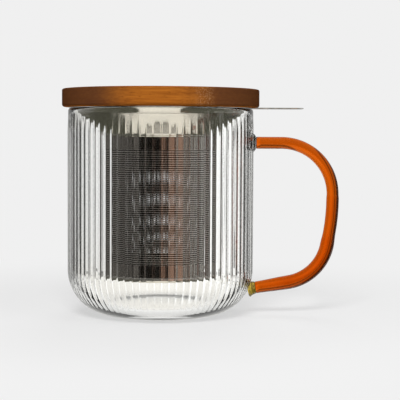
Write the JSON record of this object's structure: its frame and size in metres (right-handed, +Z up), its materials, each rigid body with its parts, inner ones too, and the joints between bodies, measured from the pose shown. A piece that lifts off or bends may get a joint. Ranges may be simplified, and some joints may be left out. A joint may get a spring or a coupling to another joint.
{
  "type": "lidded tea mug with infuser",
  "caption": "Ribbed glass tea mug with a bent glass rod handle, a hanging perforated steel infuser with a lifting tab, and a round wooden lid that seals in its collar.",
  "frame": {"origin": "on the mug's axis, at the plane of its flat foot", "axes": "+Z up along the mug's axis, +X towards the handle and the infuser's tab, +Y completes the right hand"},
  "size_m": [0.1269, 0.09, 0.1027],
  "materials": {
    "clear_glass": "clear borosilicate glass with moulded outside ribs and a fire-polished rim",
    "amber_glass": "clear amber glass rod, fire-polished",
    "weld_clear_glass": "clear gather of glass, fire-polished",
    "weld_yellow_glass": "olive yellow gather of glass, fire-polished",
    "pressed_steel": "polished stainless steel sheet with pressed bends",
    "perforated_steel": "bright rolled stainless steel sheet with rows of fine holes",
    "cap_steel": "bright pressed stainless steel",
    "silicone": "translucent silicone, matte",
    "lid_wood": "oiled reddish brown hardwood with fine straight grain",
    "plug_wood": "oiled reddish brown hardwood"
  },
  "bodies": {
    "mug": {"mug_body": "clear_glass", "handle": "amber_glass", "handle_upper_weld": "weld_clear_glass", "handle_lower_weld": "weld_yellow_glass"},
    "infuser": {"infuser_collar": "pressed_steel", "infuser_wall": "perforated_steel", "infuser_cap": "cap_steel"},
    "seal": {"seal_ring": "silicone"},
    "lid": {"lid_board": "lid_wood", "lid_plug": "plug_wood"}
  },
  "joints": [
    {"name": "infuser_lift", "type": "slide", "parent": "mug", "child": "infuser", "axis": [0, 0, 1], "range_m": [0, 0.09]},
    {"name": "lid_lift", "type": "slide", "parent": "infuser", "child": "seal", "axis": [0, 0, 1], "range_m": [0, 0.04]},
    {"name": "lid_turn", "type": "hinge", "parent": "seal", "child": "lid", "pos_m": [0, 0, 0.0945], "axis": [0, 0, 1], "continuous": true}
  ]
}
